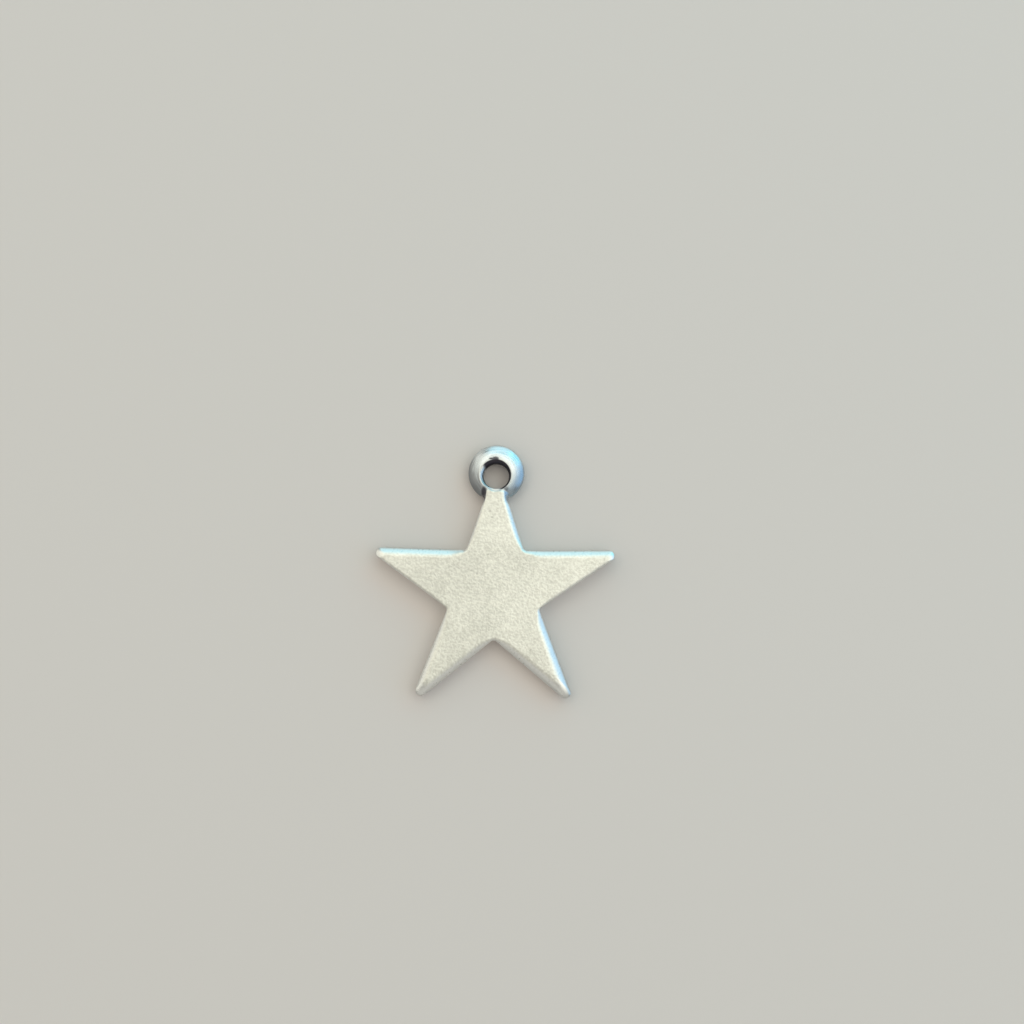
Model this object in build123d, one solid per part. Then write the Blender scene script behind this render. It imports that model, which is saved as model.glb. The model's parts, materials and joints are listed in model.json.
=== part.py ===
from build123d import *
import math
import os

# A small star charm, cast in one piece with the ring that it hangs from, and tumbled until its edges are round.
# It lies on its back: +Z goes up through the face, +Y from the star's middle to the ring.
# The origin is on the surface that the charm lies on, under the middle of its outline. All sizes are in mm.

# Star plate
PLATE_THICKNESS = 1.0
POINT_RADIUS = 7.15      # from the star's middle to an arm's point, before the point is rounded off
NOTCH_RADIUS = 2.45      # from the star's middle to the corner between two arms
POINT_ROUNDING = 0.28    # of an arm's blunt end, seen from above
INNER_CORNER_RADIUS = 0.2    # of the rounded corner between two arms, seen from above
EDGE_ROUNDING = 0.24     # between the faces and the side

# Hanging ring
RING_DIAMETER = 2.84
RING_THICKNESS = 0.9     # a little less than the plate, so the arm stands proud of the ring
RING_EDGE_ROUNDING = 0.4
HOLE_DIAMETER = 1.27
HOLE_RIM_ROUNDING = 0.2
HOLE_SHIFT = 0.17        # the hole lies this much nearer to the star than the ring's outer circle
NECK_WIDTH = 0.82        # of the top arm, where the hole cuts it off

# The star isn't quite regular. Each row is a corner of its right half, from the top arm down:
# its name, its direction from the star's middle in degrees, the radius that it follows,
# its share of that radius, and its rounding. The left half mirrors it.
CORNERS = [
    ("top point", 90.0, POINT_RADIUS, 0.891, POINT_ROUNDING),
    ("upper notch", 54.7, NOTCH_RADIUS, 1.034, INNER_CORNER_RADIUS),
    ("side point", 18.0, POINT_RADIUS, 0.981, POINT_ROUNDING),
    ("lower notch", -20.7, NOTCH_RADIUS, 0.982, INNER_CORNER_RADIUS),
    ("lower point", -54.2, POINT_RADIUS, 1.031, POINT_ROUNDING),
    ("bottom notch", -90.0, NOTCH_RADIUS, 0.987, INNER_CORNER_RADIUS),
]

# Places that follow from the sizes
HOLE_RADIUS = HOLE_DIAMETER / 2
RING_RADIUS = RING_DIAMETER / 2
corner_places = [
    (radius * share * math.cos(math.radians(turn)), radius * share * math.sin(math.radians(turn)))
    for name, turn, radius, share, rounding in CORNERS
]
top_point_y = corner_places[0][1]
notch_x, notch_y = corner_places[1]
arm_slope = notch_x / (top_point_y - notch_y)    # half width that the top arm loses for each mm of its length
neck_y = top_point_y - NECK_WIDTH / 2 / arm_slope
hole_y = neck_y + HOLE_RADIUS
ring_y = hole_y + HOLE_SHIFT


def nearest_corner(face, x, y):
    """The face's corner that lies nearest to the place (x, y)."""
    return min(face.vertices(), key=lambda corner: math.hypot(corner.X - x, corner.Y - y))


def star_outline():
    """The star seen from above, with its top arm's point, which the hole takes away."""
    right = list(corner_places)
    left = [(-x, y) for x, y in reversed(right[1:-1])]
    outline = make_face(Polyline(right + left, close=True))
    roundings = [row[-1] for row in CORNERS]
    for (x, y), rounding in zip(right + left, roundings + roundings[-2:0:-1]):
        outline = fillet(nearest_corner(outline, x, y), rounding)
    return outline


def star_plate():
    """The outline raised to a plate, with its faces rounded into the side all the way round."""
    plate = extrude(star_outline(), PLATE_THICKNESS / 2, both=True)
    faces = plate.faces().sort_by(Axis.Z)
    return fillet(faces[0].edges() + faces[-1].edges(), EDGE_ROUNDING)


def ring_blank():
    """The ring before its hole is made: a thick round button with fully rounded edges."""
    button = Pos(0, ring_y) * Cylinder(RING_RADIUS, RING_THICKNESS)
    return fillet(button.edges().filter_by(GeomType.CIRCLE), RING_EDGE_ROUNDING)


def hole_space():
    """The space of the hole: a bore that flares at both rims, so that what is left has a rounded rim.

    Past the ring's faces it goes straight on, at the width of the flare, and trims the end of the arm."""
    flare_radius = HOLE_RADIUS + HOLE_RIM_ROUNDING
    ring_top = RING_THICKNESS / 2
    bore_top = ring_top - HOLE_RIM_ROUNDING
    past_plate = PLATE_THICKNESS
    half_way = HOLE_RIM_ROUNDING * math.sin(math.radians(45))
    rounding_middle = (flare_radius - half_way, bore_top + half_way)
    upper_rim = ThreePointArc((HOLE_RADIUS, bore_top), rounding_middle, (flare_radius, ring_top))
    upper_flank = Polyline((flare_radius, ring_top), (flare_radius, past_plate), (0, past_plate), (0, 0))
    upper_half = make_face([Line((0, 0), (HOLE_RADIUS, 0)), Line((HOLE_RADIUS, 0), (HOLE_RADIUS, bore_top)),
                            upper_rim, upper_flank])
    section = Plane.XZ * (upper_half + mirror(upper_half, Plane.XZ))
    return Pos(0, hole_y) * revolve(section, Axis.Z)


charm = star_plate() + ring_blank() - hole_space()
outline_box = charm.bounding_box()
charm = Pos(0, -outline_box.center().Y, -outline_box.min.Z) * charm
charm.label = "star_pendant"

os.makedirs("parts", exist_ok=True)
export_step(charm, "parts/star_pendant.step")

star_middle_y = -outline_box.center().Y
print("size", charm.bounding_box().size)
print("volume in cubic mm", round(charm.volume, 4))
print("star's middle at y", round(star_middle_y, 4), "hole's middle at y", round(hole_y + star_middle_y, 4))
print("bore's wall is", round(RING_THICKNESS - 2 * HOLE_RIM_ROUNDING, 4), "long")
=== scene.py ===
# %% [markdown]
# # A tumbled steel star charm
# This lesson builds the looks of a small star charm around its CAD model.
# The charm is cast in one piece: a flat star, and a thick round ring at the end of its top arm.
# It has been tumbled with small stones, which round every edge and polish what they reach.
# The star's face stays satin, with a fine grain, because it was blasted before.
# We make the metal in four steps: the star, the ring, the joint between them, and the finish.

# %% Load the CAD model as the frame
import json
import math

import bmesh
import bpy
import numpy as np
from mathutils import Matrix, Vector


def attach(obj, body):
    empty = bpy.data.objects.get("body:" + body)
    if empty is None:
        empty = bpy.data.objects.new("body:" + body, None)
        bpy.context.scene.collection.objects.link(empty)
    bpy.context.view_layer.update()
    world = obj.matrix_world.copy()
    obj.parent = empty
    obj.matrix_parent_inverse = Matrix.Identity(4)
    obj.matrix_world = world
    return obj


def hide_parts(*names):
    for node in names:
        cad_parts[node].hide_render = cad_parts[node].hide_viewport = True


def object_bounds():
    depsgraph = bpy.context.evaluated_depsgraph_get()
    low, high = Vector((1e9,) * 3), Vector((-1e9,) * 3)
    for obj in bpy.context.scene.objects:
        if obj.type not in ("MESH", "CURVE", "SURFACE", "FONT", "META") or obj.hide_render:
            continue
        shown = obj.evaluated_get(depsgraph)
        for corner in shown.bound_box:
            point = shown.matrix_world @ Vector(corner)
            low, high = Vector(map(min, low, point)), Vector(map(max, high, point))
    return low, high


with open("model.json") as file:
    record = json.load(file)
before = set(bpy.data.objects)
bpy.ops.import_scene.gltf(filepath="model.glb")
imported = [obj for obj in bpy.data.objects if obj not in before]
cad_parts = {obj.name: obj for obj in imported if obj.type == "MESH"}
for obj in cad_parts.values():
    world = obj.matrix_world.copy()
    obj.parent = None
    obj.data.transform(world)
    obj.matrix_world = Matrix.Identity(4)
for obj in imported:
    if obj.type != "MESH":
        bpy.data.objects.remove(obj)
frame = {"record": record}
cad_low, cad_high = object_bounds()
print("CAD box in mm:", [round(1000 * side, 3) for side in cad_high - cad_low])

# %% [markdown]
# ## Sizes
# Jewellers measure in millimetres and Blender works in metres here, so every size is written in mm
# and is turned into metres once, when a mesh is made.
# The CAD box gives the charm's thickness. The record's mount gives the hole's place and radius.
# The sizes of the star and of the ring are those of the CAD model, apart from three corners on the left.
# The roundings are new: the CAD model has plain round edges, and here they get their true, softer form.

# %% Driving sizes in mm
MM = 0.001
THICKNESS = (cad_high.z - cad_low.z) / MM
MIDDLE_Z = (cad_high.z + cad_low.z) / 2 / MM
RING_DIAMETER = 2.84
RING_THICKNESS = 0.9
HOLE_SHIFT = 0.17
NECK_WIDTH = 0.82
POINT_RADIUS = 7.15
NOTCH_RADIUS = 2.45
ROLL_ASPECT = 0.6    # how deep the rolled edge goes, as a share of its width
# How much further out the lower point, the lower notch and the side point lie on the left than on the right.
LEFT_SHIFTS = (-0.06, 0.12, -0.038)

# Each row is a corner of the star's right half, from the top arm down. Its columns are its direction
# from the star's middle in degrees, its distance from there, and how round it is seen from above.
# The last four say how wide the rolled edge is there: on the right half above and below the corner,
# and the same on the left half, which mirrors the places but was rolled a little less.
CORNERS = [
    ("top point", 90.0, 0.891 * POINT_RADIUS, 0.28, 0.10, 0.22, 0.22, 0.10),
    ("upper notch", 54.7, 1.034 * NOTCH_RADIUS, 0.20, 0.35, 0.40, 0.28, 0.45),
    ("side point", 18.0, 0.981 * POINT_RADIUS, 0.28, 0.40, 0.13, 0.43, 0.13),
    ("lower notch", -20.7, 0.982 * NOTCH_RADIUS, 0.20, 0.13, 0.38, 0.13, 0.28),
    ("lower point", -54.2, 1.031 * POINT_RADIUS, 0.28, 0.52, 0.50, 0.38, 0.42),
    ("bottom notch", -90.0, 0.987 * NOTCH_RADIUS, 0.20, 0.36, 0.30, 0.36, 0.30),
]

table = np.array([row[1:] for row in CORNERS])
right_half = table[:, :5]
left_half = table[-2:0:-1][:, [0, 1, 2, 6, 5]] * [-1, 1, 1, 1, 1] + [180, 0, 0, 0, 0]
# On the left, the lower notch was cast a little shallow, and the two points beside it wore down a little more.
left_half[:3, 1] += LEFT_SHIFTS
rows = np.concatenate([right_half, left_half])
turns = np.radians(rows[:, 0])
corners = rows[:, 1:2] * np.stack([np.cos(turns), np.sin(turns)], axis=1)
corner_roundings, corner_rolls = rows[:, 2], rows[:, 3:]
print("corners of the star:", len(corners), "and its width between them:", round(np.ptp(corners[:, 0]), 3))

# %% [markdown]
# ## Where the ring sits
# The hole touches the place where the top arm has narrowed to the neck's width.
# It lies a little nearer to the star than the middle of the ring, so the ring is thickest at its far side.
# The record says where the hole is, and that tells us where the star's middle is.

# %% Places that follow from the sizes
hole = next(mount for mount in frame["record"]["mounts"] if mount["name"] == "hanging_hole")
HOLE_RADIUS = hole["dims"]["r_mm"]
RING_RADIUS = RING_DIAMETER / 2
arm_slope = corners[1, 0] / (corners[0, 1] - corners[1, 1])
hole_y = corners[0, 1] - NECK_WIDTH / 2 / arm_slope + HOLE_RADIUS
ring_y = hole_y + HOLE_SHIFT
star_y = hole["pos_m"][1] / MM - hole_y
star_middle = np.array([0.0, star_y])
hole_middle = np.array([0.0, star_y + hole_y])
ring_middle = np.array([0.0, star_y + ring_y])
corners = corners + star_middle
print("star's middle:", star_middle.round(4), "hole's middle:", hole_middle.round(4))

# %% [markdown]
# ## A rounded outline
# Seen from above, the star is ten straight sides joined by ten small arcs.
# We could draw it as a curve and bevel it, but then we couldn't say where each row of faces goes.
# So a function works the outline out: it cuts each corner by the length that its arc needs,
# and swings a short arm round the arc's middle.
# All arms for all corners are one array, so there is no loop over points.

# %% Outline with arcs at its corners
ARC_STEPS = 12
SIDE_STEPS = 56


def side_directions(places):
    """Directions of the side that comes to each corner of a closed outline, and of the side that goes on from it."""
    coming = places - np.roll(places, 1, axis=0)
    coming /= np.linalg.norm(coming, axis=1, keepdims=True)
    return coming, np.roll(coming, -1, axis=0)


def rounded_outline(places, radii):
    """Points of a closed outline with round corners, as an array of (corner, step along it, x and y).

    The arc at a corner starts and ends at radius times the tangent of half the turn from the corner.
    Its middle lies on the bisector, at radius over the cosine of half the turn.
    Past its arc, each corner goes on along its straight side to the next corner's arc."""
    coming, going = side_directions(places)
    turn = np.arccos(np.clip((coming * going).sum(axis=1), -1, 1))[:, None]
    cut = radii[:, None] * np.tan(turn / 2)
    starts, ends = places - cut * coming, places + cut * going
    inwards = (going - coming) / np.linalg.norm(going - coming, axis=1, keepdims=True)
    middles = places + inwards * radii[:, None] / np.cos(turn / 2)
    share = np.linspace(0, 1, ARC_STEPS + 1)
    from_start = (np.sin((1 - share) * turn) / np.sin(turn))[:, :, None]
    from_end = (np.sin(share * turn) / np.sin(turn))[:, :, None]
    arcs = middles[:, None] + (starts - middles)[:, None] * from_start + (ends - middles)[:, None] * from_end
    along = np.linspace(0, 1, SIDE_STEPS + 1)[1:-1, None]
    sides = ends[:, None] * (1 - along) + np.roll(starts, -1, axis=0)[:, None] * along
    return np.concatenate([arcs, sides], axis=1)


outline = rounded_outline(corners, corner_roundings)
print("outline:", outline.shape, "spans", np.ptp(outline.reshape(-1, 2), axis=0).round(3), "mm")

# %% [markdown]
# ## The inner rim of the rolled edge
# Tumbling rolls the edge over a band about 0.4 mm wide, wider at the bottom and narrower under the side arms.
# The rim where the flat face begins is an outline of its own.
# Each of its corners lies one width inside one side of the star and the other width inside the next side,
# which is two equations for its two coordinates.
# At a tip the rim's arc is small, and at a notch it is wider than the outline's by the band's width.
# The stones hardly fit into a notch, so there the band narrows to a share of its width,
# and the rim drifts back towards the outline.

# %% Inner rim, matched step by step to the outline
RIM_TIP_ROUNDING = 0.09
NOTCH_SHARE = 0.45
NOTCH_REACH = 0.5
coming, going = side_directions(corners)
is_tip = coming[:, 0] * going[:, 1] < coming[:, 1] * going[:, 0]
quarter_turn = np.array([[0, -1], [1, 0]])
inside_normals = np.stack([coming @ quarter_turn, going @ quarter_turn], axis=1)
rim_corners = corners + np.linalg.solve(inside_normals, corner_rolls[:, :, None])[:, :, 0]
rim_roundings = np.where(is_tip, RIM_TIP_ROUNDING, corner_roundings + corner_rolls.mean(axis=1))
rim = rounded_outline(rim_corners, rim_roundings)
# The share is 1 far from the notches and falls to NOTCH_SHARE at one, as a bell curve of the distance from it.
from_notch = np.linalg.norm(outline[:, :, None] - corners[~is_tip], axis=3).min(axis=2)[..., None]
roll_share = 1 - (1 - NOTCH_SHARE) * np.exp(-(from_notch / NOTCH_REACH) ** 2)
rim = outline + roll_share * (rim - outline)
print("tips:", int(is_tip.sum()), "rolls from", corner_rolls.min(), "to", corner_rolls.max(), "mm wide")

# %% [markdown]
# ## The rolled edge
# The edge is a profile carried round the outline: a soft slope from the face to the side,
# a short upright wall, and the same again to the back.
# Tumbling wears an edge to a shape between a quarter circle and a bevel, so its curve is a superellipse:
# the sine and cosine of an ellipse, raised to powers above 1.
# Where the roll is wide it is deep as well, so its depth is a fixed share of its width.
# Last, the top arm flares a little where it runs into the ring, as metal does in a casting.

# %% Edge profile carried round the outline
ROLL_STEPS = 12
WALL_STEPS = 3
ROLL_POWERS = (1.22, 1.6)
FLARE = 0.24
FLARE_LENGTH = 0.34


def roll_curve(steps, face_power, side_power):
    """Two shares for each row of a roll, from its rim down: how far in from the side, and how far down.

    They are 1 minus a power of an angle's cosine, and 1 minus a power of its sine. With both powers 1 this is
    a quarter circle and with both 2 a straight bevel. The first sets how softly the roll leaves the face,
    and the second how suddenly it meets the side."""
    angle = np.linspace(np.pi / 2, 0, steps + 1)
    return 1 - np.cos(angle).clip(0) ** face_power, 1 - np.sin(angle) ** side_power


def roll_widths():
    """The roll's width at every point of the outline: blended along the arcs and the sides, times its share."""
    before, after = corner_rolls[:, :1], corner_rolls[:, 1:]
    on_arc = before + (after - before) * np.linspace(0, 1, ARC_STEPS + 1)
    along = np.linspace(0, 1, SIDE_STEPS + 1)[1:-1]
    on_side = after + (np.roll(before, -1, axis=0) - after) * along
    return (np.concatenate([on_arc, on_side], axis=1)[..., None] * roll_share).reshape(1, -1, 1)


def edge_band():
    """The edge's surface, row by row. A row blends the outline and the rim by its share, and lies
    below the face by the depth of the roll times its second share. The back's half mirrors the face's."""
    inset, drop = (row[:, None, None] for row in roll_curve(ROLL_STEPS, *ROLL_POWERS))
    outer, inner = outline.reshape(1, -1, 2), rim.reshape(1, -1, 2)
    plan = outer * (1 - inset) + inner * inset
    height = THICKNESS / 2 - ROLL_ASPECT * roll_widths() * drop
    wall = height[-1:] * np.linspace(1, -1, WALL_STEPS + 1)[1:-1, None, None]
    plan = np.concatenate([plan, np.repeat(outer, WALL_STEPS - 1, axis=0), plan[::-1]])
    return np.concatenate([plan, MIDDLE_Z + np.concatenate([height, wall, -height[::-1]])], axis=2)


def flared(places):
    """Places with x stretched near the ring.

    The stretch fades with the distance from the neck, as a bell curve does."""
    from_neck = (places[..., 1:2] - (hole_middle[1] - HOLE_RADIUS)) / FLARE_LENGTH
    stretch = 1 + FLARE * np.exp(-np.clip(-from_neck, 0, None) ** 2)
    return np.concatenate([places[..., :1] * stretch, places[..., 1:]], axis=-1)


band = flared(edge_band())
deepest = round(ROLL_ASPECT * roll_widths().max(), 2)
print("edge band:", band.shape[:2], "rows and steps, rolled down by up to", deepest, "mm")

# %% [markdown]
# ## The flat faces
# A star falls into five kites. Each kite has a tip, two notches and the star's middle as its corners.
# A grid fills a kite when its four sides are known: we add the blend between each pair of opposite sides
# and take away the blend of the four corners, which was counted twice. That is a Coons patch.
# Because neighbouring kites share a side, their grids meet point to point.

# %% Five kites for each face
def kite_sides():
    """For each tip, the rim from the middle of its arc to that of the next notch, and of the notch before."""
    half_arc = ARC_STEPS // 2
    tips = rim[is_tip]
    after, before = np.roll(rim, -1, axis=0)[is_tip], np.roll(rim, 1, axis=0)[is_tip]
    onward = np.concatenate([tips[:, half_arc:], after[:, :half_arc + 1]], axis=1)
    back = np.concatenate([tips[:, :half_arc + 1][:, ::-1], before[:, half_arc:][:, ::-1]], axis=1)
    return onward, back


def kites():
    """Coons patch of every kite, as an array of (kite, step one way, step the other way, x and y).

    It adds the blends between the two pairs of opposite sides, and takes away the blend of the four corners."""
    onward, back = kite_sides()
    steps = onward.shape[1]
    share = np.linspace(0, 1, steps)
    to_middle = star_middle - onward[:, -1]
    across_far = onward[:, -1:, :] + share[None, :, None] * to_middle[:, None]
    to_middle_back = star_middle - back[:, -1]
    across_near = back[:, -1:, :] + share[None, :, None] * to_middle_back[:, None]
    s, t = share[None, :, None, None], share[None, None, :, None]
    between_one = back[:, None, :, :] * (1 - s) + across_far[:, None, :, :] * s
    between_two = onward[:, :, None, :] * (1 - t) + across_near[:, :, None, :] * t
    tip, far = onward[:, :1, None, :], onward[:, -1:, None, :]
    near = back[:, -1:, None, :]
    corner_blend = tip * (1 - s) * (1 - t) + far * s * (1 - t) + near * (1 - s) * t + star_middle * s * t
    return between_one + between_two - corner_blend


face_plan = flared(kites())
print("kites:", face_plan.shape[0], "with", face_plan.shape[1], "by", face_plan.shape[2], "points each")

# %% [markdown]
# ## From arrays to a mesh
# A grid of points becomes faces when each point is joined to its neighbours in the next row and column.
# Grids that share a border are put into one mesh and their double points merged, which closes the skin.

# %% Grids to a closed mesh
MERGE_DISTANCE = 0.0004 * MM


def grid_faces(high, wide, closed=False):
    """Point numbers of the faces of a grid, row by row. A closed grid joins its last column to its first."""
    number = np.arange(high * wide).reshape(high, wide)
    if closed:
        number = np.concatenate([number, number[:, :1]], axis=1)
    round_each_face = [number[:-1, :-1], number[:-1, 1:], number[1:, 1:], number[1:, :-1]]
    return np.stack(round_each_face, axis=-1).reshape(-1, 4)


def closed_mesh(name, grids):
    """One mesh from several grids, as pairs of points in mm and faces.

    Double points are merged and the faces turned to point outwards."""
    points, faces, start = [], [], 0
    for grid_points, grid_quads in grids:
        points.append(grid_points.reshape(-1, 3) * MM)
        faces.append(grid_quads + start)
        start += len(points[-1])
    mesh = bpy.data.meshes.new(name)
    mesh.from_pydata(np.concatenate(points), [], np.concatenate(faces))
    work = bmesh.new()
    work.from_mesh(mesh)
    bmesh.ops.remove_doubles(work, verts=work.verts, dist=MERGE_DISTANCE)
    bmesh.ops.dissolve_degenerate(work, edges=work.edges, dist=MERGE_DISTANCE)
    bmesh.ops.recalc_face_normals(work, faces=work.faces)
    open_edges = sum(1 for edge in work.edges if len(edge.link_faces) != 2)
    print(name, "has", len(work.faces), "faces and", open_edges, "open edges")
    work.to_mesh(mesh)
    work.free()
    return mesh


def kite_grids(height):
    """The five kites at one height, as grids for closed_mesh."""
    up = np.full(face_plan.shape[:3] + (1,), height)
    quads = grid_faces(face_plan.shape[1], face_plan.shape[2])
    return [(kite, quads) for kite in np.concatenate([face_plan, up], axis=3)]


star_mesh = closed_mesh("star_plate", [
    (band, grid_faces(*band.shape[:2], closed=True)),
    *kite_grids(MIDDLE_Z + THICKNESS / 2),
    *kite_grids(MIDDLE_Z - THICKNESS / 2),
])

# %% [markdown]
# ## The ring
# The ring is a bead round a hole, and three circles shape it: the hole, the rim above it, and the outside.
# Their middles differ, because the hole wasn't drilled and countersunk quite true.
# Between the hole and the rim lies a funnel. From the rim a wide shoulder falls to the outside,
# nearly as straight as a bevel. Towards the star the funnel ends in a flat lip.

# %% Ring carried round three circles
RING_STEPS = 288
SECTION_STEPS = 14
RIM_RADIUS = 0.82
RIM_SHIFT = (-0.05, 0.07)
SHOULDER_DROP = 0.36
SHOULDER_POWERS = (1.4, 1.4)
FUNNEL_DROP = 0.24
FUNNEL_POWERS = (1.2, 1.2)
LIP_FLATNESS = 0.94
LIP_POWER = 1.8
# The nicks in the rim: place from the hole's middle, half width, half height, and depth.
NICKS = [(-0.06, 0.88, 0.16, 0.11, 0.02), (-0.25, 0.90, 0.13, 0.045, 0.0)]
rim_middle = hole_middle + RIM_SHIFT


def ring_profile():
    """Rows of the upper half of the bead's section, as three arrays: stage, funnel depth, and shoulder depth.

    Stage 0 is the hole's circle, 1 is the rim's and 2 is the outer one. Depths are measured from the top."""
    funnel_inset, funnel_drop = roll_curve(SECTION_STEPS, *FUNNEL_POWERS)
    inset, drop = roll_curve(SECTION_STEPS, *SHOULDER_POWERS)
    stage = np.concatenate([funnel_inset[::-1], 2 - inset[1:]])
    in_funnel = np.concatenate([FUNNEL_DROP * funnel_drop[::-1], 0 * drop[1:]])
    on_shoulder = np.concatenate([0 * funnel_drop, SHOULDER_DROP * drop[1:]])
    return stage, in_funnel, on_shoulder


def ring_surface():
    """Place on the ring for each row of its profile and each angle round the hole.

    Seen from above, a place blends the circles on both sides of its stage. Its depth is that of the profile,
    and towards the star the funnel's share of it shrinks to make the lip.
    The nicks in the rim are dents as deep as bell curves of the distance from their places,
    measured in their own sizes across and along. The back's half mirrors the face's."""
    around = np.linspace(0, 2 * np.pi, RING_STEPS, endpoint=False)[None, :]
    direction = np.stack([np.cos(around), np.sin(around)], axis=-1)
    stage, in_funnel, on_shoulder = (row[:, None, None] for row in ring_profile())
    circles = [hole_middle + HOLE_RADIUS * direction, rim_middle + RIM_RADIUS * direction,
               ring_middle + RING_RADIUS * direction]
    shares = [np.clip(1 - stage, 0, 1), 1 - abs(stage - 1), np.clip(stage - 1, 0, 1)]
    plan = sum(share * circle for share, circle in zip(shares, circles))
    towards_star = np.clip(-direction[..., 1:], 0, 1) ** LIP_POWER
    depth = in_funnel * (1 - LIP_FLATNESS * towards_star) + on_shoulder
    dents = np.zeros_like(depth)
    for x, y, half_width, half_height, nick_depth in NICKS:
        from_nick = (plan - hole_middle - (x, y)) / (half_width, half_height)
        dents = dents + nick_depth * np.exp(-(from_nick ** 2).sum(axis=2, keepdims=True))
    upper = np.concatenate([plan, MIDDLE_Z + RING_THICKNESS / 2 - depth - dents], axis=2)
    lower = np.concatenate([plan, MIDDLE_Z - RING_THICKNESS / 2 + depth], axis=2)[::-1]
    return np.concatenate([upper, lower, upper[:1]])


ring_points = ring_surface()
ring_mesh = closed_mesh("hanging_ring", [(ring_points, grid_faces(*ring_points.shape[:2], closed=True))])

# %% [markdown]
# ## Cutting the arm and joining it to the ring
# The arm stops where the hole begins. A cutter with a flared end takes its point away
# and leaves a small rounded lip, which stays just outside the hole.
# Then the arm and the ring become one skin with a Boolean modifier, as they are one casting.

# %% Cutter, Booleans and one skin
ARM_END_RADIUS = 0.75
ARM_END_ROLL = 0.05
ARM_END_STEPS = 8
CUTTER_STEPS = 160


def cutter_surface():
    """A spool round the hole's axis: a column that flares by a quarter circle where it leaves the plate.

    Its radius is the arm end's radius plus the roll times 1 minus the cosine of an angle,
    while its height nears the face by the roll times the sine of that angle."""
    flare = np.linspace(0, np.pi / 2, ARM_END_STEPS)
    radius = ARM_END_RADIUS + ARM_END_ROLL * (1 - np.cos(flare))
    height = THICKNESS / 2 - ARM_END_ROLL * (1 - np.sin(flare))
    radius = np.concatenate([[0], radius[::-1], radius, [0]])
    height = np.concatenate([[-THICKNESS], -height[::-1], height, [THICKNESS]])
    radius = np.insert(radius, [1, len(radius) - 1], ARM_END_RADIUS + ARM_END_ROLL)
    height = np.insert(height, [1, len(height) - 1], [-THICKNESS, THICKNESS])
    around = np.linspace(0, 2 * np.pi, CUTTER_STEPS, endpoint=False)
    plan = hole_middle + radius[:, None, None] * np.stack([np.cos(around), np.sin(around)], axis=-1)[None]
    up = np.broadcast_to((MIDDLE_Z + height)[:, None, None], plan.shape[:2] + (1,))
    return np.concatenate([plan, up], axis=2)


cutter_points = cutter_surface()
cutter_mesh = closed_mesh("cutter", [(cutter_points, grid_faces(*cutter_points.shape[:2], closed=True))])


def placed(name, mesh):
    """A new object for a mesh, in the scene."""
    thing = bpy.data.objects.new(name, mesh)
    bpy.context.scene.collection.objects.link(thing)
    return thing


def boolean(thing, operation, other):
    """thing with a Boolean modifier's result as its mesh. other is used up."""
    modifier = thing.modifiers.new(operation.lower(), "BOOLEAN")
    modifier.operation = operation
    modifier.solver = "MANIFOLD"
    modifier.object = other
    bpy.context.view_layer.update()
    result = bpy.data.meshes.new_from_object(thing.evaluated_get(bpy.context.evaluated_depsgraph_get()))
    thing.modifiers.clear()
    thing.data = result
    bpy.data.objects.remove(other)
    print(operation.lower(), "leaves", len(result.polygons), "faces")


charm = placed("star_charm", star_mesh)
boolean(charm, "DIFFERENCE", placed("cutter", cutter_mesh))
boolean(charm, "UNION", placed("hanging_ring", ring_mesh))

# %% [markdown]
# ## Softening the crease
# In a casting, the crease between arm and ring is never sharp.
# We find the edges there that bend by more than 25 degrees, weigh each point by how near it is to them,
# and let the weighed points drift towards the average of their neighbours.

# %% Crease between arm and ring
CREASE_BEND = math.radians(25)
CREASE_REACH = 0.18
CREASE_ROUNDS = 60
CREASE_STEP = 0.6    # the share of the way to its neighbours' mean that a point goes in one round
OUTSIDE_RING = 0.03    # a crease lies no further than this outside the ring
OUTSIDE_HOLE = 0.08    # and begins this far from the hole
SOFT_ZONE = 1.3    # points further than this many radii from the ring's middle stay where they are
# Close to the hole the reach is short, to keep the lip: two distances from its middle, and the reach's shares.
LIP_ZONE = (0.85, 1.15)
LIP_REACH = (0.15, 1.0)
SHARP_BEND = math.radians(50)


def crease_points(mesh):
    """Places in mm of the points on sharply bent edges, within the ring's reach of its middle."""
    work = bmesh.new()
    work.from_mesh(mesh)
    sharp = {point for edge in work.edges if edge.is_manifold and edge.calc_face_angle(0) > CREASE_BEND
             for point in edge.verts}
    places = np.array([point.co for point in sharp]) / MM
    work.free()
    near_ring = np.linalg.norm(places[:, :2] - ring_middle, axis=1) < RING_RADIUS + OUTSIDE_RING
    near_arm = (abs(places[:, 0]) < NECK_WIDTH) & (places[:, 1] < hole_middle[1])
    past_lip = np.linalg.norm(places[:, :2] - hole_middle, axis=1) > HOLE_RADIUS + OUTSIDE_HOLE
    return places[near_ring & near_arm & past_lip]


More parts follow.
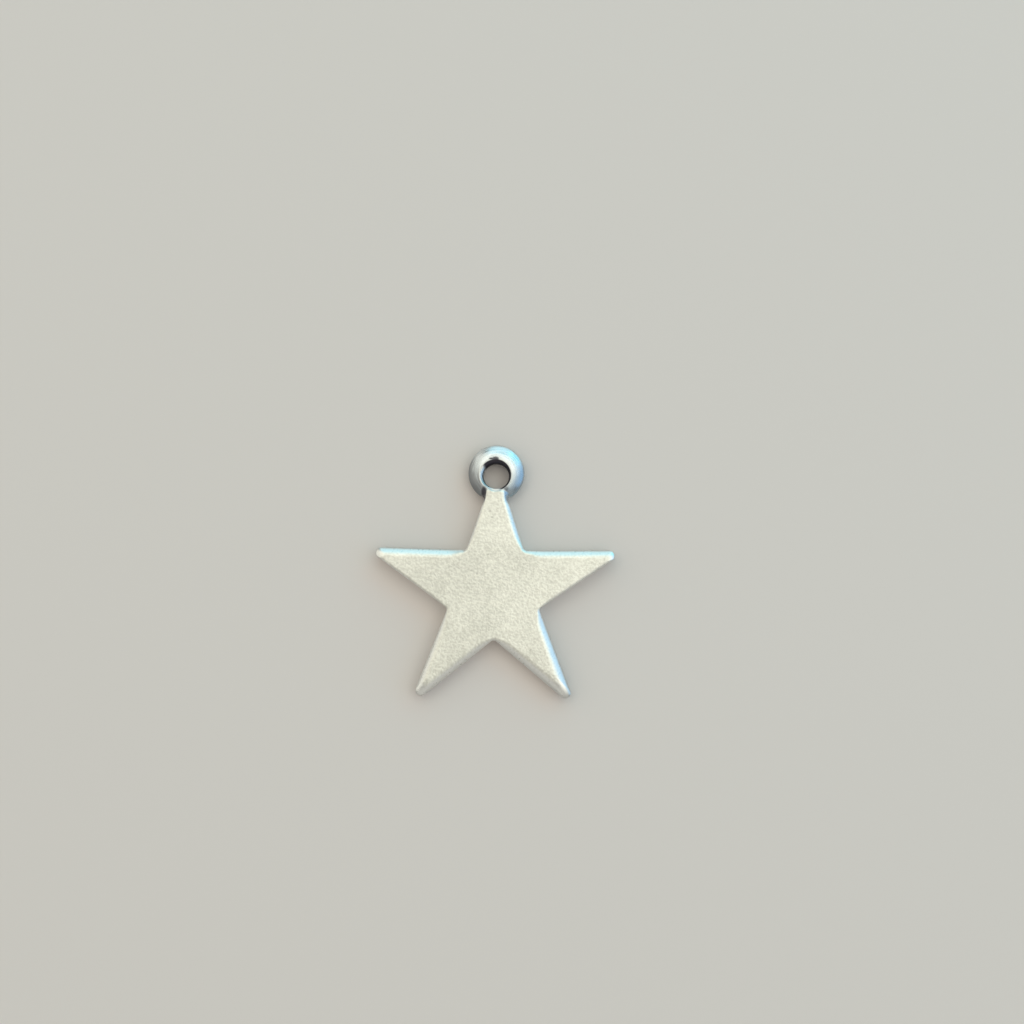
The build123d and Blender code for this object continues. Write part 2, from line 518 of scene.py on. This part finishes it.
def softened(mesh):
    """Moves points near the crease towards the mean of their neighbours, again and again.

    A point's weight is a bell curve of its distance to the crease over the reach. The weights are kept
    in the mesh, for the painted shade in the crease."""
    places = np.empty(len(mesh.vertices) * 3, np.float32)
    mesh.vertices.foreach_get("co", places)
    places = places.reshape(-1, 3).astype(float) / MM
    crease = crease_points(mesh)
    near = np.flatnonzero(np.linalg.norm(places[:, :2] - ring_middle, axis=1) < SOFT_ZONE * RING_RADIUS)
    gap = np.linalg.norm(places[near][:, None] - crease[None], axis=2).min(axis=1)
    weight = np.zeros(len(places))
    from_hole = np.linalg.norm(places[near, :2] - hole_middle, axis=1)
    reach = CREASE_REACH * np.interp(from_hole, LIP_ZONE, LIP_REACH)
    weight[near] = np.exp(-(gap / reach) ** 2)
    ends = np.empty(len(mesh.edges) * 2, np.int32)
    mesh.edges.foreach_get("vertices", ends)
    ends = ends.reshape(-1, 2)
    count = np.bincount(ends.ravel(), minlength=len(places))[:, None]
    for _ in range(CREASE_ROUNDS):
        total = np.zeros_like(places)
        np.add.at(total, ends[:, 0], places[ends[:, 1]])
        np.add.at(total, ends[:, 1], places[ends[:, 0]])
        places += weight[:, None] * CREASE_STEP * (total / count - places)
    mesh.vertices.foreach_set("co", (places * MM).astype(np.float32).ravel())
    crease_layer = mesh.attributes.new("crease", "FLOAT", "POINT")
    crease_layer.data.foreach_set("value", weight.astype(np.float32))
    print("crease:", len(crease), "points, softened", int((weight > 0.1).sum()))


softened(charm.data)
charm.data.polygons.foreach_set("use_smooth", np.ones(len(charm.data.polygons), bool))
charm.data.set_sharp_from_angle(angle=SHARP_BEND)
charm.data.update()

# %% [markdown]
# ## Shader maths in Python
# A material is a sheet of nodes. Written out, even one sum takes five lines.
# A small class wraps a node's output and gives it Python's + - and *, which add the Math nodes for us.
# Colours and vectors need nodes of their own kinds, and one method adds those.

# %% Sockets with operators, and one way to add any node
class Field:
    """A value that varies over the surface: the output of a node, on the sheet of nodes that it belongs to."""

    def __init__(self, sheet, output):
        self.sheet = sheet
        self.output = output

    def math(self, operation, *others):
        """This value and others through a Math node."""
        return self.sheet.node("ShaderNodeMath", {"operation": operation}, dict(enumerate((self, *others))))

    def __add__(self, other):
        return self.math("ADD", other)

    def __radd__(self, other):
        return self.math("ADD", other)

    def __sub__(self, other):
        return self.math("SUBTRACT", other)

    def __rsub__(self, other):
        return self.sheet.node("ShaderNodeMath", {"operation": "SUBTRACT"}, {0: other, 1: self})

    def __mul__(self, other):
        return self.math("MULTIPLY", other)

    def __rmul__(self, other):
        return self.math("MULTIPLY", other)


class Sheet:
    """The node sheet of a material or of the world."""

    def __init__(self, owner):
        owner.use_nodes = True
        self.tree = owner.node_tree
        self.tree.nodes.clear()

    def node(self, kind, settings=None, inputs=None, output=0):
        """A new node: its settings first, then its inputs, as numbers, colours or links. Returns one output."""
        made = self.tree.nodes.new(kind)
        for name, value in (settings or {}).items():
            setattr(made, name, value)
        for name, value in (inputs or {}).items():
            if isinstance(value, Field):
                self.tree.links.new(value.output, made.inputs[name])
            else:
                made.inputs[name].default_value = value
        return Field(self, made.outputs[output] if len(made.outputs) else None)

    def step(self, value, low, high):
        """0 below low, 1 above high, and a smooth rise between them."""
        return self.node("ShaderNodeMapRange", {"interpolation_type": "SMOOTHSTEP"},
                         {"Value": value, "From Min": low, "From Max": high})

    def mix(self, share, first, second):
        """A colour between two colours."""
        inputs = {"Factor": share, 6: first, 7: second}
        return self.node("ShaderNodeMix", {"data_type": "RGBA"}, inputs, output=2)

    def noise(self, place, size_mm, detail=2.0, roughness=0.5):
        """Soft noise from 0 to 1 whose spots are about size_mm wide. place is in mm."""
        return self.node("ShaderNodeTexNoise", None, {
            "Vector": place, "Scale": 1 / size_mm, "Detail": detail, "Roughness": roughness})


print("node helpers ready")

# %% [markdown]
# ## The satin face
# The face and the back were blasted, and the tumbling has only stroked them.
# So they carry a fine grain of light and dull specks, soft larger blotches, and a few real pits.
# An image could hold these, but it would blur up close and show its seams on the sides.
# Noise in three dimensions has neither fault: three sizes of it add up to the satin's lightness.

# %% Grain, blotches and pits of the face
GRAIN_SIZE, BLOTCH_SIZE, CLOUD_SIZE = 0.12, 0.5, 2.6
GRAIN_SHARE, BLOTCH_SHARE, CLOUD_SHARE = 0.48, 0.48, 0.76
GRAIN_LEVELS = (0.24, 0.76)
DULLING = 0.25    # taken off the lightness everywhere
SATIN_COLOURS = ((0.64, 0.63, 0.57, 1), (0.985, 0.97, 0.885, 1))
SPOT_RIM = (0.3, 1.0)    # shares of a spot's size between which it fades
PIT_DARKNESS = 0.6
# Each pit is its place from the star's middle and its radius.
PITS = [(-0.89, 0.88, 0.08), (1.86, -2.93, 0.07), (-0.34, 1.85, 0.07), (-1.19, 1.03, 0.06), (-0.17, 3.73, 0.07),
        (-0.28, 4.05, 0.08)]


def spot(sheet, plan, centre, size):
    """1 in an oval spot and 0 outside it, with a soft rim. size is half its width and half its height in mm."""
    offset = sheet.node("ShaderNodeVectorMath", {"operation": "SUBTRACT"}, {0: plan, 1: (*centre, 0)})
    scaled = sheet.node("ShaderNodeVectorMath", {"operation": "DIVIDE"}, {0: offset, 1: (*size, 1)})
    away = sheet.node("ShaderNodeVectorMath", {"operation": "LENGTH"}, {0: scaled}, output=1)
    return 1 - sheet.step(away, *SPOT_RIM)


def satin_finish(sheet, place_mm, plan):
    """The satin's colour, and its grain from 0 in a dull speck to 1 in a light one."""
    grain = sheet.step(sheet.noise(place_mm, GRAIN_SIZE, detail=1.5), *GRAIN_LEVELS)
    blotch = sheet.noise(place_mm, BLOTCH_SIZE)
    cloud = sheet.noise(place_mm, CLOUD_SIZE, detail=1.0)
    lightness = GRAIN_SHARE * grain + BLOTCH_SHARE * blotch + CLOUD_SHARE * cloud - DULLING
    for x, y, radius in PITS:
        lightness = lightness - PIT_DARKNESS * spot(sheet, plan, star_middle + (x, y), (radius, radius))
    return sheet.mix(lightness, *SATIN_COLOURS), grain


print("grain of", GRAIN_SIZE, "mm and", len(PITS), "pits")

# %% [markdown]
# ## The polished ring
# The ring is turned and buffed, which leaves fine streaks round it. Noise makes them
# when one of its directions is the distance from the ring's middle, stretched a lot.
# The ring's lower left, the far wall of its hole, the crease on the left and two spots, one in that crease and one
# at the hole's lower right, are painted dark as painted shade. The nicks and a few tool marks are dark tarnish. Each
# has a mask, and the strongest mask at a place says how dark it is. The lower right also gets a thinner painted
# shade, tinted blue as a painted reflection, which the metal's colour takes up.

# %% Streaks, tarnish and painted shade of the ring
STREAKS_PER_MM = 16.0
STREAK_TURN = 1.5    # how far the noise moves on in one radian round the ring
STREAK_LEVELS = (0.3, 0.7)
# Each stain is its place from the ring's middle, half its width, half its height, and its strength.
# The first and the third spot are painted shade, in the crease left of the arm and at the hole's lower right; the
# second is dark tool marks.
STAINS_AND_SHADE_SPOTS = [(-0.62, -0.95, 0.26, 0.46, 0.95), (-1.14, 0.36, 0.10, 0.24, 0.35), (0.52, -0.78, 0.16, 0.15, 0.55)]
# A mask that leans one way has a direction, and the two distances that way between which it rises.
# The ring's lower left is painted dark: painted shade on the side that faces away from the lights.
LOWER_LEFT_SHADE_DIRECTION, LOWER_LEFT_SHADE_RISE = (-0.87, -0.5), (0.6, 1.45)
# The ring's lower right is painted a darker blue grey: painted shade, tinted like a painted reflection of the cool
# windows.
COOL_SHADE_DIRECTION, COOL_SHADE_RISE = (0.75, -0.66), (0.45, 1.1)
# The far wall of the hole is painted dark: painted shade inside the hole.
FAR_WALL_SHADE_DIRECTION, FAR_WALL_SHADE_RISE = (0.8, 0.6), (-0.35, -0.1)
# The crease between the ring and the left side of the arm is painted dark: painted shade.
LEFT_CREASE_SHADE_DIRECTION, LEFT_CREASE_SHADE_RISE = (-1.0, 0.0), (0.35, 0.65)
LOWER_LEFT_SHADE_STRENGTH = 0.65
LOWER_LEFT_SHADE_STREAKS = 0.5    # how far in mm the streaks push the edge of the painted shade on the lower left about
FUNNEL_FADE = (RIM_RADIUS - 0.035, RIM_RADIUS - 0.01)
NICK_SPREAD = 1.7    # a nick's dark spot is this many times as large as its dent
NICK_STRENGTH = 0.92
NICK_LEVELS = (0.4, 1.4)
RAGGED_SIZE = 0.06
RAGGED_SHARE = 0.8


def ring_streaks(sheet, plan):
    """Noise from 0 to 1 that changes fast with the distance from the ring's middle and slowly round it."""
    offset = sheet.node("ShaderNodeVectorMath", {"operation": "SUBTRACT"}, {0: plan, 1: (*ring_middle, 0)})
    away = sheet.node("ShaderNodeVectorMath", {"operation": "LENGTH"}, {0: offset}, output=1)
    heading = sheet.node("ShaderNodeVectorMath", {"operation": "NORMALIZE"}, {0: offset})
    turned = sheet.node("ShaderNodeVectorMath", {"operation": "SCALE"}, {0: heading, "Scale": STREAK_TURN})
    outwards = sheet.node("ShaderNodeCombineXYZ", None, {2: away * STREAKS_PER_MM})
    place = sheet.node("ShaderNodeVectorMath", {"operation": "ADD"}, {0: turned, 1: outwards})
    return sheet.step(sheet.noise(place, 1.0, roughness=0.6), *STREAK_LEVELS)


def leaning(sheet, plan, centre, direction):
    """How far in mm a place lies from a centre in one direction."""
    offset = sheet.node("ShaderNodeVectorMath", {"operation": "SUBTRACT"}, {0: plan, 1: (*centre, 0)})
    inputs = {0: offset, 1: (*direction, 0)}
    return sheet.node("ShaderNodeVectorMath", {"operation": "DOT_PRODUCT"}, inputs, output=1)


def distance(sheet, plan, centre):
    """How far in mm a place lies from a centre, seen from above."""
    return sheet.node("ShaderNodeVectorMath", {"operation": "DISTANCE"}, {0: plan, 1: (*centre, 0)}, output=1)


def ring_tarnish_and_shade(sheet, plan, streaks):
    """1 where the ring is painted dark and 0 where it is bright: painted shade on its lower left, far wall, left
    crease and two spots, and tarnish on its nicks and marks.
    """
    lower_left_shade = leaning(sheet, plan, ring_middle, LOWER_LEFT_SHADE_DIRECTION) + LOWER_LEFT_SHADE_STREAKS * streaks
    tarnish_and_shade = LOWER_LEFT_SHADE_STRENGTH * sheet.step(lower_left_shade, *LOWER_LEFT_SHADE_RISE)
    in_funnel = 1 - sheet.step(distance(sheet, plan, rim_middle), *FUNNEL_FADE)
    far_wall_shade = in_funnel * sheet.step(leaning(sheet, plan, hole_middle, FAR_WALL_SHADE_DIRECTION), *FAR_WALL_SHADE_RISE)
    ragged = RAGGED_SHARE * sheet.noise(plan, RAGGED_SIZE, detail=3.0, roughness=0.7)
    nicks = []
    for x, y, wide, high, _ in NICKS:
        dark = spot(sheet, plan, hole_middle + (x, y), (NICK_SPREAD * wide, NICK_SPREAD * high))
        nicks.append(NICK_STRENGTH * sheet.step(dark + ragged, *NICK_LEVELS))
    stains_and_shade_spots = [strength * spot(sheet, plan, ring_middle + (x, y), (wide, high))
              for x, y, wide, high, strength in STAINS_AND_SHADE_SPOTS]
    crease = sheet.node("ShaderNodeAttribute", {"attribute_name": "crease"}, output=2)
    on_left = sheet.step(leaning(sheet, plan, ring_middle, LEFT_CREASE_SHADE_DIRECTION), *LEFT_CREASE_SHADE_RISE)
    for mask in (far_wall_shade, crease * on_left, *nicks, *stains_and_shade_spots):
        tarnish_and_shade = tarnish_and_shade.math("MAXIMUM", mask)
    return tarnish_and_shade


print("streaks:", STREAKS_PER_MM, "for each mm")

# %% [markdown]
# ## The metal
# All the finishes are one material, because the charm is one casting.
# Everything that stands lower than the face by more than a hair has been polished by the tumbling,
# so the height itself tells where the finish changes. The ring's top is lower still.
# The grain fades down the rolled edge, because the stones reach the edge more often than the face.
# The upright side is painted darker as painted shade, which frames the face.

# %% Tumbled steel
# Two depths in mm below the face, between which a change of the finish comes about.
POLISH_DEPTHS = (0.005, 0.075)
WEAR_DEPTHS = (0.03, 0.18)
RING_DEPTHS = (0.03, 0.05)
# The painted shade on the upright side comes about between these two depths.
SIDE_SHADE_DEPTHS = (0.14, 0.30)
RING_SIDE_SHADE_EXTRA = 0.16    # the painted side shade begins this much deeper on the ring
RING_END = (1.25, 1.6)    # distances from the ring's middle towards the star, between which its finish ends
WORN_GRAIN = 0.7    # the share of the grain's colour that wear takes away
COOL_SHADE_STRENGTH = 0.9
COOL_SHADE_STREAKS = 0.2    # how far in mm the streaks push the edge of the painted cool shade about
SIDE_SHADE_STRENGTH = 0.6
# Where a finish has two colours, they are those of its dull and of its light places.
BUFFED_COLOURS = ((0.66, 0.71, 0.73, 1), (0.86, 0.89, 0.90, 1))
ROLLED_COLOURS = ((0.78, 0.78, 0.75, 1), (0.90, 0.90, 0.87, 1))
# The cool shade colour is painted shade with a blue tint that stands in for the windows' reflection.
COOL_SHADE_COLOUR = (0.36, 0.43, 0.49, 1)
# The side colour is painted shade, darker than the metal, for the upright side.
SIDE_SHADE_COLOUR = (0.46, 0.46, 0.44, 1)
# One dark colour serves both the painted shade on the ring and the tarnish of its nicks and marks.
TARNISH_AND_SHADE_COLOUR = (0.062, 0.057, 0.07, 1)
# The roughness of the satin, and how much each of the others takes off it or adds to it.
SATIN_ROUGHNESS = 0.42
POLISH_GLOSS, RING_GLOSS = 0.15, 0.05
GRAIN_ROUGHNESS, STREAK_ROUGHNESS, TARNISH_AND_SHADE_ROUGHNESS = 0.05, 0.10, 0.12
# The height of the grain in mm, the share of it that polish takes away, and the streaks' share of it.
GRAIN_HEIGHT, POLISHED_AWAY, STREAK_HEIGHT = 0.006, 0.9, 0.3


def tumbled_steel():
    """The charm's only material: satin on its faces, rolled below them, buffed on the ring, with painted shade in
    its corners and on its sides.
    """
    material = bpy.data.materials.new("tumbled_steel")
    sheet = Sheet(material)
    place = sheet.node("ShaderNodeTexCoord", output=3)
    place_mm = sheet.node("ShaderNodeVectorMath", {"operation": "SCALE"}, {0: place, "Scale": 1 / MM})
    plan = sheet.node("ShaderNodeVectorMath", {"operation": "MULTIPLY"}, {0: place_mm, 1: (1, 1, 0)})
    height = sheet.node("ShaderNodeSeparateXYZ", None, {0: place_mm}, output=2)
    below_face = THICKNESS / 2 - (height - MIDDLE_Z).math("ABSOLUTE")
    polish = sheet.step(below_face, *POLISH_DEPTHS)
    worn = sheet.step(below_face, *WEAR_DEPTHS)
    near_ring = 1 - sheet.step(leaning(sheet, plan, ring_middle, (0.0, -1.0)), *RING_END)
    on_ring = sheet.step(below_face, *RING_DEPTHS) * near_ring
    satin, grain = satin_finish(sheet, place_mm, plan)
    streaks = ring_streaks(sheet, plan)
    tarnish_and_shade = ring_tarnish_and_shade(sheet, plan, streaks) * on_ring
    cool_shade = leaning(sheet, plan, ring_middle, COOL_SHADE_DIRECTION) + COOL_SHADE_STREAKS * streaks
    buffed = sheet.mix(streaks, *BUFFED_COLOURS)
    buffed = sheet.mix(COOL_SHADE_STRENGTH * sheet.step(cool_shade, *COOL_SHADE_RISE), buffed, COOL_SHADE_COLOUR)
    faint_grain = 0.5 + (grain - 0.5) * (1 - WORN_GRAIN * worn)
    rolled = sheet.mix(faint_grain, *ROLLED_COLOURS)
    # side is the mask of the painted shade on the upright side.
    side = sheet.step(below_face - RING_SIDE_SHADE_EXTRA * on_ring, *SIDE_SHADE_DEPTHS)
    clean = sheet.mix(polish, satin, sheet.mix(on_ring, rolled, buffed))
    clean = sheet.mix(SIDE_SHADE_STRENGTH * side, clean, SIDE_SHADE_COLOUR)
    colour = sheet.mix(tarnish_and_shade, clean, TARNISH_AND_SHADE_COLOUR)
    roughness = (SATIN_ROUGHNESS - POLISH_GLOSS * polish + GRAIN_ROUGHNESS * grain - RING_GLOSS * on_ring
                 + STREAK_ROUGHNESS * streaks * on_ring + TARNISH_AND_SHADE_ROUGHNESS * tarnish_and_shade)
    relief = grain * (1 - POLISHED_AWAY * polish) + STREAK_HEIGHT * streaks * on_ring
    bump = sheet.node("ShaderNodeBump", None, {
        "Strength": 1.0, "Distance": GRAIN_HEIGHT * MM, "Height": relief})
    shader = sheet.node("ShaderNodeBsdfPrincipled", None, {
        "Base Color": colour, "Metallic": 1.0, "Roughness": roughness, "Normal": bump})
    sheet.node("ShaderNodeOutputMaterial", None, {"Surface": shader})
    return material


charm.data.materials.clear()
charm.data.materials.append(tumbled_steel())
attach(charm, "root")
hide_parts("star_pendant")
print("finish:", charm.data.materials[0].name)

# %% [markdown]
# ## The floor
# The charm lies on a plain pale surface that reaches past the lights.
# The world behind it has much the same tone where the camera sees it, so a low view shows a faint horizon.

# %% Pale floor
FLOOR_HALF_WIDTH = 560.0
FLOOR_COLOUR = (0.70, 0.64, 0.61, 1)
FLOOR_ROUGHNESS = 0.6


def pale_floor():
    """A square in the plane that the charm lies on, with a plain matt material."""
    corner = FLOOR_HALF_WIDTH * MM
    mesh = bpy.data.meshes.new("floor")
    mesh.from_pydata([(-corner, -corner, 0), (corner, -corner, 0), (corner, corner, 0), (-corner, corner, 0)],
                     [], [(0, 1, 2, 3)])
    material = bpy.data.materials.new("pale_floor")
    sheet = Sheet(material)
    look = {"Base Color": FLOOR_COLOUR, "Roughness": FLOOR_ROUGHNESS}
    shader = sheet.node("ShaderNodeBsdfPrincipled", None, look)
    sheet.node("ShaderNodeOutputMaterial", None, {"Surface": shader})
    mesh.materials.append(material)
    return placed("floor", mesh)


pale_floor()
print("floor is", 2 * FLOOR_HALF_WIDTH, "mm wide")

# %% [markdown]
# ## Light
# A polished edge is a mirror, so it shows its surroundings: what we see on metal is the light itself.
# A wide warm panel hangs overhead, and a smaller key light joins it on the right.
# Three cool windows stand low beyond the star's top, its upper right and its right,
# and light only what leans that way. Two warm screens, one on the left and a dim one near the viewer,
# keep the other edges soft. The panels are large and close, so every reflection has soft ends.

# %% Studio lights
# Each row is a panel: its direction from the charm in degrees, turned from +Y towards +X, and its elevation,
# its distance, width and height in mm, its colour, and its radiance.
LIGHTS = [
    ("overhead", 35.0, 72.0, 500.0, 820.0, 460.0, (1.0, 0.99, 0.88), 0.78),
    ("key", 76.0, 60.0, 450.0, 600.0, 190.0, (1.0, 0.98, 0.88), 0.42),
    ("top_window", 8.0, 24.0, 420.0, 400.0, 330.0, (0.44, 0.86, 1.0), 0.90),
    ("corner_window", 45.0, 23.0, 420.0, 220.0, 300.0, (0.10, 0.80, 1.0), 0.96),
    ("right_window", 88.0, 23.0, 420.0, 420.0, 320.0, (0.36, 0.68, 1.0), 0.90),
    ("left_screen", 288.0, 38.0, 460.0, 660.0, 520.0, (1.0, 0.99, 0.88), 0.60),
    ("near_screen", 180.0, 36.0, 460.0, 900.0, 440.0, (1.0, 0.99, 0.94), 0.28),
]


def panel_light(name, azimuth, elevation, distance, width, height, colour, radiance):
    """A rectangular light that faces the charm. A light's power is its radiance times its area times pi."""
    light = bpy.data.lights.new(name, "AREA")
    light.shape = "RECTANGLE"
    light.size, light.size_y = width * MM, height * MM
    light.energy = radiance * light.size * light.size_y * math.pi
    light.color = colour
    panel = placed(name, light)
    panel.visible_camera = False
    a, e = math.radians(azimuth), math.radians(elevation)
    away = np.array([math.sin(a) * math.cos(e), math.cos(a) * math.cos(e), math.sin(e)])
    panel.location = away * distance * MM
    panel.rotation_mode = "QUATERNION"
    panel.rotation_quaternion = panel.location.to_track_quat("Z", "Y")
    return panel


for row in LIGHTS:
    panel_light(*row)

# The room's own soft light, and the backdrop's tone, which only the camera sees.
ROOM = {"Color": (1.0, 0.98, 0.90, 1), "Strength": 0.30}
BACKDROP = {"Color": (1.0, 0.96, 0.85, 1), "Strength": 0.59}
world = bpy.data.worlds.new("studio")
bpy.context.scene.world = world
studio = Sheet(world)
room = studio.node("ShaderNodeBackground", None, ROOM)
backdrop = studio.node("ShaderNodeBackground", None, BACKDROP)
seen = studio.node("ShaderNodeLightPath")
surround = studio.node("ShaderNodeMixShader", None, {0: seen, 1: room, 2: backdrop})
studio.node("ShaderNodeOutputWorld", None, {"Surface": surround})
bpy.context.scene.view_settings.view_transform = "Standard"
print("lights:", [row[0] for row in LIGHTS])

# %% [markdown]
# ## The camera
# The photograph was taken from nearly straight above, about 100 mm away, with a long lens.
# One pixel is a known length on the charm, so the pixel at the picture's middle tells where the camera points,
# and the pixel of the star's middle tells how far the star lies from there.

# %% Camera at the photograph's view
PICTURE_SIZE = 1024.0
PIXEL = 0.0507    # the length in mm that one pixel shows at the charm
STAR_PIXEL = np.array([494.7, 591.1])
FOCAL_PIXELS = 1972.0    # the lens's focal length, counted in pixels
SENSOR_WIDTH = 36.0
CLIP_NEAR, CLIP_FAR = 1.0, 5000.0
ROLL = math.radians(0.9)
LEAN = math.radians(2.0)
LEAN_TOWARDS = math.radians(-60.0)


def photo_camera():
    """A camera whose right and up directions are turned by the roll and whose back leans by the lean."""
    right = np.array([math.cos(ROLL), math.sin(ROLL), 0])
    up = np.array([-math.sin(ROLL), math.cos(ROLL), 0])
    from_star = PICTURE_SIZE / 2 - STAR_PIXEL
    aim = np.array([*star_middle, MIDDLE_Z]) + PIXEL * (from_star[0] * right - from_star[1] * up)
    sideways = math.cos(LEAN_TOWARDS) * right + math.sin(LEAN_TOWARDS) * up
    back = math.sin(LEAN) * sideways + math.cos(LEAN) * np.array([0, 0, 1])
    across = np.cross(up, back)
    across /= np.linalg.norm(across)
    data = bpy.data.cameras.new("photo_camera")
    data.sensor_width = SENSOR_WIDTH
    data.lens = SENSOR_WIDTH * FOCAL_PIXELS / PICTURE_SIZE
    data.clip_start, data.clip_end = CLIP_NEAR * MM, CLIP_FAR * MM
    camera = placed("photo_camera", data)
    turned = np.eye(4)
    turned[:3, 0], turned[:3, 1], turned[:3, 2] = across, np.cross(back, across), back
    turned[:3, 3] = (aim + back * PIXEL * FOCAL_PIXELS) * MM
    camera.matrix_world = turned.T
    return camera


bpy.context.scene.camera = photo_camera()
print("camera height in mm:", round(PIXEL * FOCAL_PIXELS, 1))
